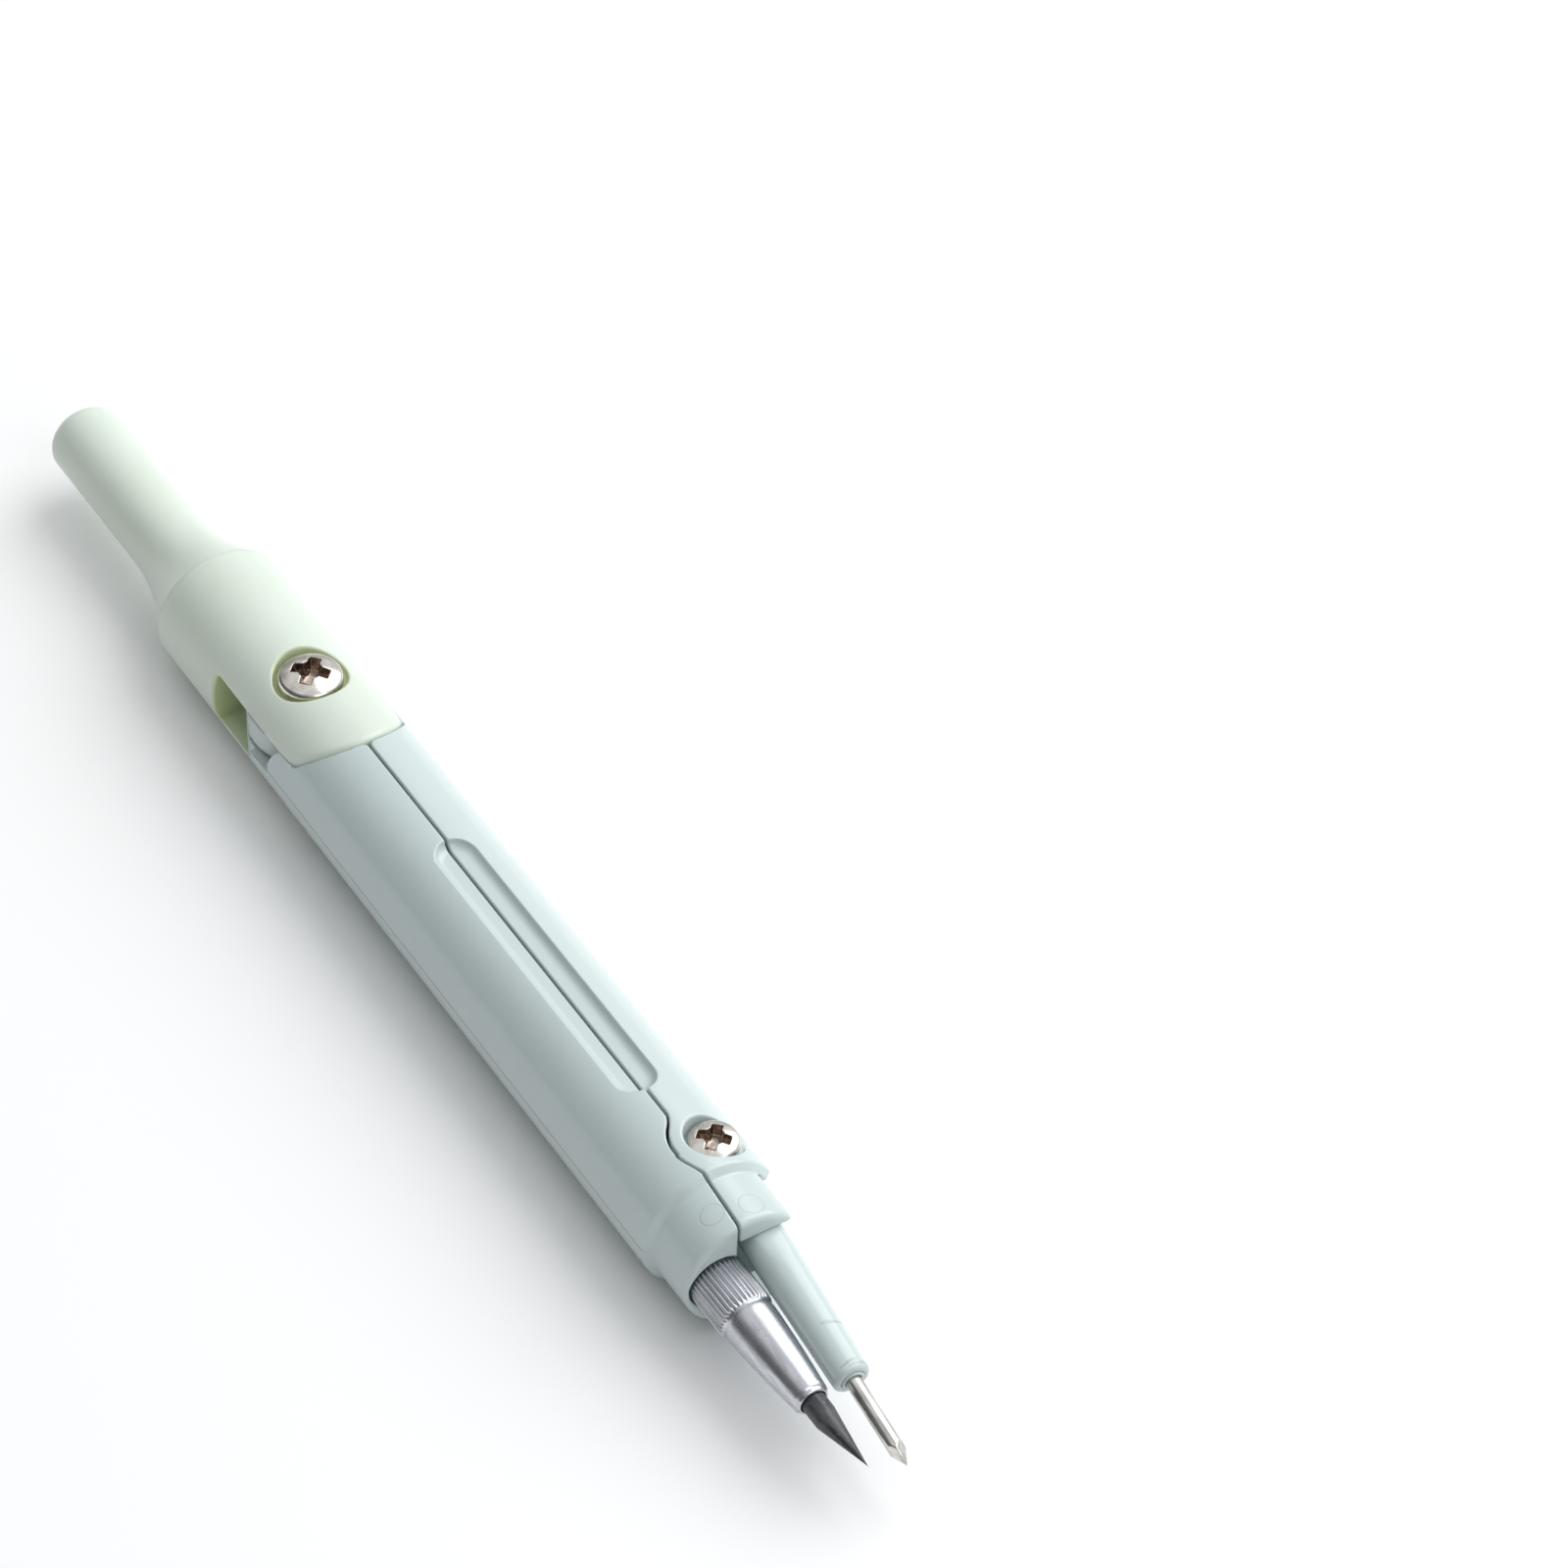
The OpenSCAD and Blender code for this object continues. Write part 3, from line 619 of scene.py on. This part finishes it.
def leg_paint():
    """Glossy blue-green paint with dust, pencil strokes at the arm's end, a seam and pin marks."""
    m, n = material("leg_paint")
    x, y, z = n.split()
    color = n.mix(n.fade(n.noise(60, 4), 0.3, 0.7), (0.548, 0.635, 0.63), (0.558, 0.643, 0.64))

    arm_end = n.fade(x, HINGE_M[0] + STROKES_X * MM, HINGE_M[0] + (STROKES_X + 1.5) * MM)
    across = n.stretch((1.2, 0.3, 0.3), 0.5)
    strokes = n.times(n.fade(n.noise(1100, 2, across), 0.62, 0.67), arm_end)
    color = n.mix(n.times(strokes, 0.5), color, (0.30, 0.33, 0.33))
    dots = n.times(n.fade(n.cells(520), 0.04, 0.09, 1, 0), n.fade(n.noise(210, 2), 0.58, 0.66))
    color = n.mix(n.times(dots, 0.7), color, (0.16, 0.17, 0.16))

    level = n.fade(n.apart(z, HINGE_M[2]), 0.00003, 0.00009, 1, 0)
    seam = n.times(level, n.fade(n.math("ABSOLUTE", y), 0.0050, 0.0054))
    seam = n.times(seam, n.fade(x, HINGE_M[0] + (STEP - 1) * MM, HINGE_M[0] + STEP * MM, 1, 0))
    color = n.mix(n.times(seam, 0.75), color, (0.13, 0.15, 0.15))

    front = n.fade(z, HINGE_M[2] + 0.003, HINGE_M[2] + 0.0035)
    rings = 0.0
    for cx, cy, r in PIN_MARKS:
        d = n.offset(x, y, (HINGE_M[0] + cx * MM, cy * MM))[2]
        ring = n.fade(n.apart(d, r * MM), 0.00003, 0.00011, 1, 0)
        rings = n.math("ADD", rings, n.times(ring, front))
    color = n.mix(n.times(rings, 0.22), color, (0.30, 0.35, 0.35))

    rough = n.fade(n.noise(400, 2), 0.3, 0.7, 0.25, 0.265)
    height = n.math("SUBTRACT", n.times(n.noise(1500, 2), 0.05), n.math("ADD", seam, rings))
    n.finish(color, rough, n.bump(height, 0.25, 0.00008), Coat_Weight=0.35, Coat_Roughness=0.1)
    return m


def metal(name, light, dark, rough, stretch=(1, 1, 1), scale=900, centre=None, cross=0.0, relief=0.1):
    """Metal with fine marks: drawn along stretch, or turned round an upright centre, where the recess
    that is cross wide is painted dark brown, as shade in the hollow."""
    m, n = material(name)
    if centre is None:
        marks = n.noise(scale, 4, n.stretch(stretch))
    else:
        x, y, _ = n.split()
        dx, dy, d = n.offset(x, y, centre)
        marks = n.math("ADD", n.times(n.math("SINE", n.times(d, 42000)), 0.12), n.noise(scale, 4))
        a, b = n.math("ABSOLUTE", n.math("ADD", dx, dy)), n.math("ABSOLUTE", n.math("SUBTRACT", dx, dy))
        reach = n.fade(n.math("MAXIMUM", a, b), cross * 0.68, cross * 0.72, 1, 0)
        width = n.fade(n.math("MINIMUM", a, b), cross * 0.22, cross * 0.25, 1, 0)
        hollow = n.math("MAXIMUM", n.times(reach, width), n.fade(d, cross * 0.30, cross * 0.33, 1, 0))
    color = n.mix(n.fade(marks, 0.35, 0.65), light, dark)
    if centre is not None:
        # Painted shade: the cross recess and its middle are coloured dark brown, standing in for the shade
        # that falls in the hollow
        recess_shade = n.mix(n.fade(n.noise(1600, 3), 0.3, 0.7), (0.24, 0.19, 0.155), (0.55, 0.47, 0.41))
        color = n.mix(hollow, color, recess_shade)
    spots = n.times(n.fade(n.cells(1500), 0.08, 0.16, 1, 0), n.fade(n.noise(500, 2), 0.52, 0.64))
    color = n.mix(n.times(spots, 0.6), color, tuple(0.35 * c for c in dark))
    roughness = n.fade(marks, 0.3, 0.7, rough * 0.8, rough * 1.25)
    n.finish(color, roughness, n.bump(marks, relief, 0.00002), Metallic=1.0)
    return m


def graphite():
    """Dark lead with faint streaks along it and a few spots painted lighter as glints."""
    m, n = material("graphite")
    streaks = n.noise(1500, 4, n.stretch((0.12, 1.3, 1.3), 0.05))
    color = n.mix(n.fade(streaks, 0.35, 0.65), (0.055, 0.057, 0.062), (0.12, 0.123, 0.13))
    # Painted highlight: small spots of the lead are coloured lighter to stand for glints
    painted_glint = n.fade(n.noise(2600, 3), 0.62, 0.72)
    color = n.mix(n.times(painted_glint, 0.5), color, (0.28, 0.285, 0.30))
    n.finish(color, n.fade(streaks, 0.3, 0.7, 0.34, 0.5), n.bump(streaks, 0.35, 0.00003), Metallic=0.55)
    return m


NICKEL, NICKEL_DARK = (0.78, 0.75, 0.70), (0.52, 0.49, 0.45)
PAINT = leg_paint()
HINGE_STEEL = metal("hinge_screw_steel", NICKEL, NICKEL_DARK, 0.2, centre=HINGE_M, cross=HINGE_CROSS * MM)
KNEE_STEEL = metal("knee_screw_steel", NICKEL, NICKEL_DARK, 0.22, centre=KNEE_M, cross=KNEE_CROSS * MM)
WASHER = metal("washer_steel", (0.7, 0.7, 0.7), (0.5, 0.5, 0.5), 0.3, centre=HINGE_M)
NUT_METAL = metal("nut_metal", (0.64, 0.65, 0.69), (0.52, 0.53, 0.57), 0.28,
                  stretch=(0.3, 1.6, 1.6), scale=1800, relief=0.03)
BRASS = metal("collet_brass", (0.80, 0.62, 0.32), (0.60, 0.44, 0.20), 0.3, stretch=(3, 0.4, 0.4))
NEEDLE = metal("needle_steel", (0.80, 0.79, 0.76), (0.50, 0.48, 0.45), 0.18,
               stretch=(0.2, 2.0, 2.0), scale=1200)

# Pieces
mid = steps(-6.25, (6.25, 0.135))
head_lines = steps(HANDLE_END - 0.3, (HANDLE_END + 1.5, 0.1), (SHOULDER - 1, 0.26), (SHOULDER + 1, 0.13),
                   (-8, 0.2), (CHEEK_END + 0.3, 0.15))
leg_lines = steps(-6.5, (10, 0.2), (22, 0.3), (25, 0.16), (50, 0.34), (55.4, 0.16), (COLLAR_END + 0.25, 0.12))
arm_lines = steps(knee[0] - 2.6, (knee[0] + ARM_LEN + 0.4, 0.09))
head = solid("head_moulding", head_field, head_lines, mid, mid)
pencil = solid("pencil_leg_painted", pencil_field, leg_lines, mid, mid)
needle_leg = solid("needle_leg_painted", needle_leg_field, leg_lines, mid, mid)
arm = solid("needle_arm_painted", arm_field, arm_lines,
            steps(-1.2, (knee[1] + 2.6, 0.08)), steps(-1.4, (3.8, 0.08)))
hinge_screw = screw("hinge_screw_pan", (0, 0), HINGE_SEAT, shank_r=1.5, tip=node_box("hinge_screw")[0][2],
                    head_r=2.7, rim=1.0, height=1.75, span=HINGE_CROSS, edge=0.3)
knee_screw = screw("knee_screw_pan", knee, KNEE_SEAT, shank_r=1.0, tip=node_box("knee_screw")[0][2],
                   head_r=2.05, rim=0.95, height=1.45, span=KNEE_CROSS, edge=0.22)

for piece, body, node, slot_name, look in (
        (head, "head", "head_handle", "head_plastic", head_plastic()),
        (hinge_screw, "head", "hinge_screw", "screw_steel", HINGE_STEEL),
        (pencil, "pencil_side", "pencil_leg", "leg_paint", PAINT),
        (clutch_nut(), "nut", "clutch_nut", "nut_metal", NUT_METAL),
        (lead_stick(), "lead_stick", "lead", "graphite", graphite()),
        (needle_leg, "needle_side", "needle_leg", "leg_paint", PAINT),
        (knee_screw, "needle_side", "knee_screw", "screw_steel", KNEE_STEEL),
        (arm, "arm", "needle_arm", "leg_paint", PAINT),
        (sleeve_ring(), "arm", "needle_sleeve", "leg_paint", PAINT),
        (needle_pin(), "arm", "needle", "needle_steel", NEEDLE)):
    piece.data.materials.append(look)
    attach(piece, body)
    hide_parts(node)

for node, look in (("hinge_nut", HINGE_STEEL), ("hinge_washer", WASHER), ("knee_nut", KNEE_STEEL),
                   ("knee_washer", WASHER), ("lead_collet", BRASS)):
    mesh = frame["nodes"][node].data
    mesh.materials.clear()
    mesh.materials.append(look)


# Stage
def card(name, centre, facing, width, height, look):
    """Flat rectangle that faces a direction."""
    w, h = width / 2, height / 2
    mesh = bpy.data.meshes.new(name)
    mesh.from_pydata([(-w, -h, 0), (w, -h, 0), (w, h, 0), (-w, h, 0)], [], [(0, 1, 2, 3)])
    obj = bpy.data.objects.new(name, mesh)
    bpy.context.scene.collection.objects.link(obj)
    obj.location = centre
    obj.rotation_mode = "QUATERNION"
    obj.rotation_quaternion = Vector(facing).to_track_quat("Z", "Y")
    mesh.materials.append(look)


def plain(name, low, high, rough):
    """Matt board that hardly varies."""
    m, n = material(name)
    n.finish(n.mix(n.noise(30, 2), low, high), rough)
    return m


def area(name, centre, size, power):
    """Round soft light, aimed at the middle of the compass."""
    light = bpy.data.lights.new(name, "AREA")
    light.shape, light.size, light.energy = "DISK", size, power
    obj = bpy.data.objects.new(name, light)
    bpy.context.scene.collection.objects.link(obj)
    obj.location = centre
    obj.rotation_mode = "QUATERNION"
    obj.rotation_quaternion = (Vector(centre) - Vector(LIGHT_TARGET)).to_track_quat("Z", "Y")


LIGHT_TARGET = (0.01, 0, 0)
FLOOR_SIZE, FLOOR_DROP = 6, 0.00002
FLOOR_WHITE = plain("floor_white", (0.925, 0.93, 0.935), (0.94, 0.94, 0.94), 0.6)
CARD_GREY = plain("card_grey", (0.10, 0.11, 0.11), (0.12, 0.13, 0.13), 0.8)
card("floor", (0, 0, -FLOOR_DROP), (0, 0, 1), FLOOR_SIZE, FLOOR_SIZE, FLOOR_WHITE)
card("dark_card", (-0.22, -0.27, 0.125), (0.63, 0.77, 0.1), 0.5, 0.17, CARD_GREY)

# The sky is dark on one side and light on the other, along SKY_TOWARDS
SKY_TOWARDS, SKY_STRENGTH = (-0.1, 0.5, 0.86), 0.82
SKY_STOPS = ((0.02, 0.16), (0.7, 1.0))
world = bpy.data.worlds.new("studio")
bpy.context.scene.world = world
world.use_nodes = True
tree = world.node_tree
direction = tree.nodes.new("ShaderNodeVectorMath")
direction.operation = "DOT_PRODUCT"
direction.inputs[1].default_value = SKY_TOWARDS
tree.links.new(tree.nodes.new("ShaderNodeTexCoord").outputs["Generated"], direction.inputs[0])
sky = tree.nodes.new("ShaderNodeValToRGB")
sky.color_ramp.interpolation = "EASE"
for stop, (place, grey) in zip(sky.color_ramp.elements, SKY_STOPS):
    stop.position = place
    stop.color = (0.975 * grey, 0.99 * grey, grey, 1)
tree.links.new(direction.outputs["Value"], sky.inputs[0])
tree.links.new(sky.outputs[0], tree.nodes["Background"].inputs[0])
tree.nodes["Background"].inputs[1].default_value = SKY_STRENGTH
area("key", (-0.03, 0.36, 0.42), 0.6, 2.0)
area("fill", (0.45, 0.05, 0.4), 0.4, 0.5)

# The camera's place and target are in millimetres
CAMERA_AT, CAMERA_AIM, CAMERA_ROLL = (294.53, -166.27, 359.46), (1.34, 29.5, 5.68), math.radians(2.53)
camera = bpy.data.objects.new("camera", bpy.data.cameras.new("camera"))
bpy.context.scene.collection.objects.link(camera)
camera.data.lens, camera.data.sensor_width, camera.data.clip_start = 141.82, 36, 0.01
camera.location = Vector(CAMERA_AT) * MM
aim = Vector(CAMERA_AIM) * MM
camera.rotation_mode = "QUATERNION"
roll = Quaternion((0, 0, 1), CAMERA_ROLL)
camera.rotation_quaternion = (aim - camera.location).to_track_quat("-Z", "Y") @ roll
bpy.context.scene.camera = camera
bpy.context.scene.view_settings.view_transform = "Standard"
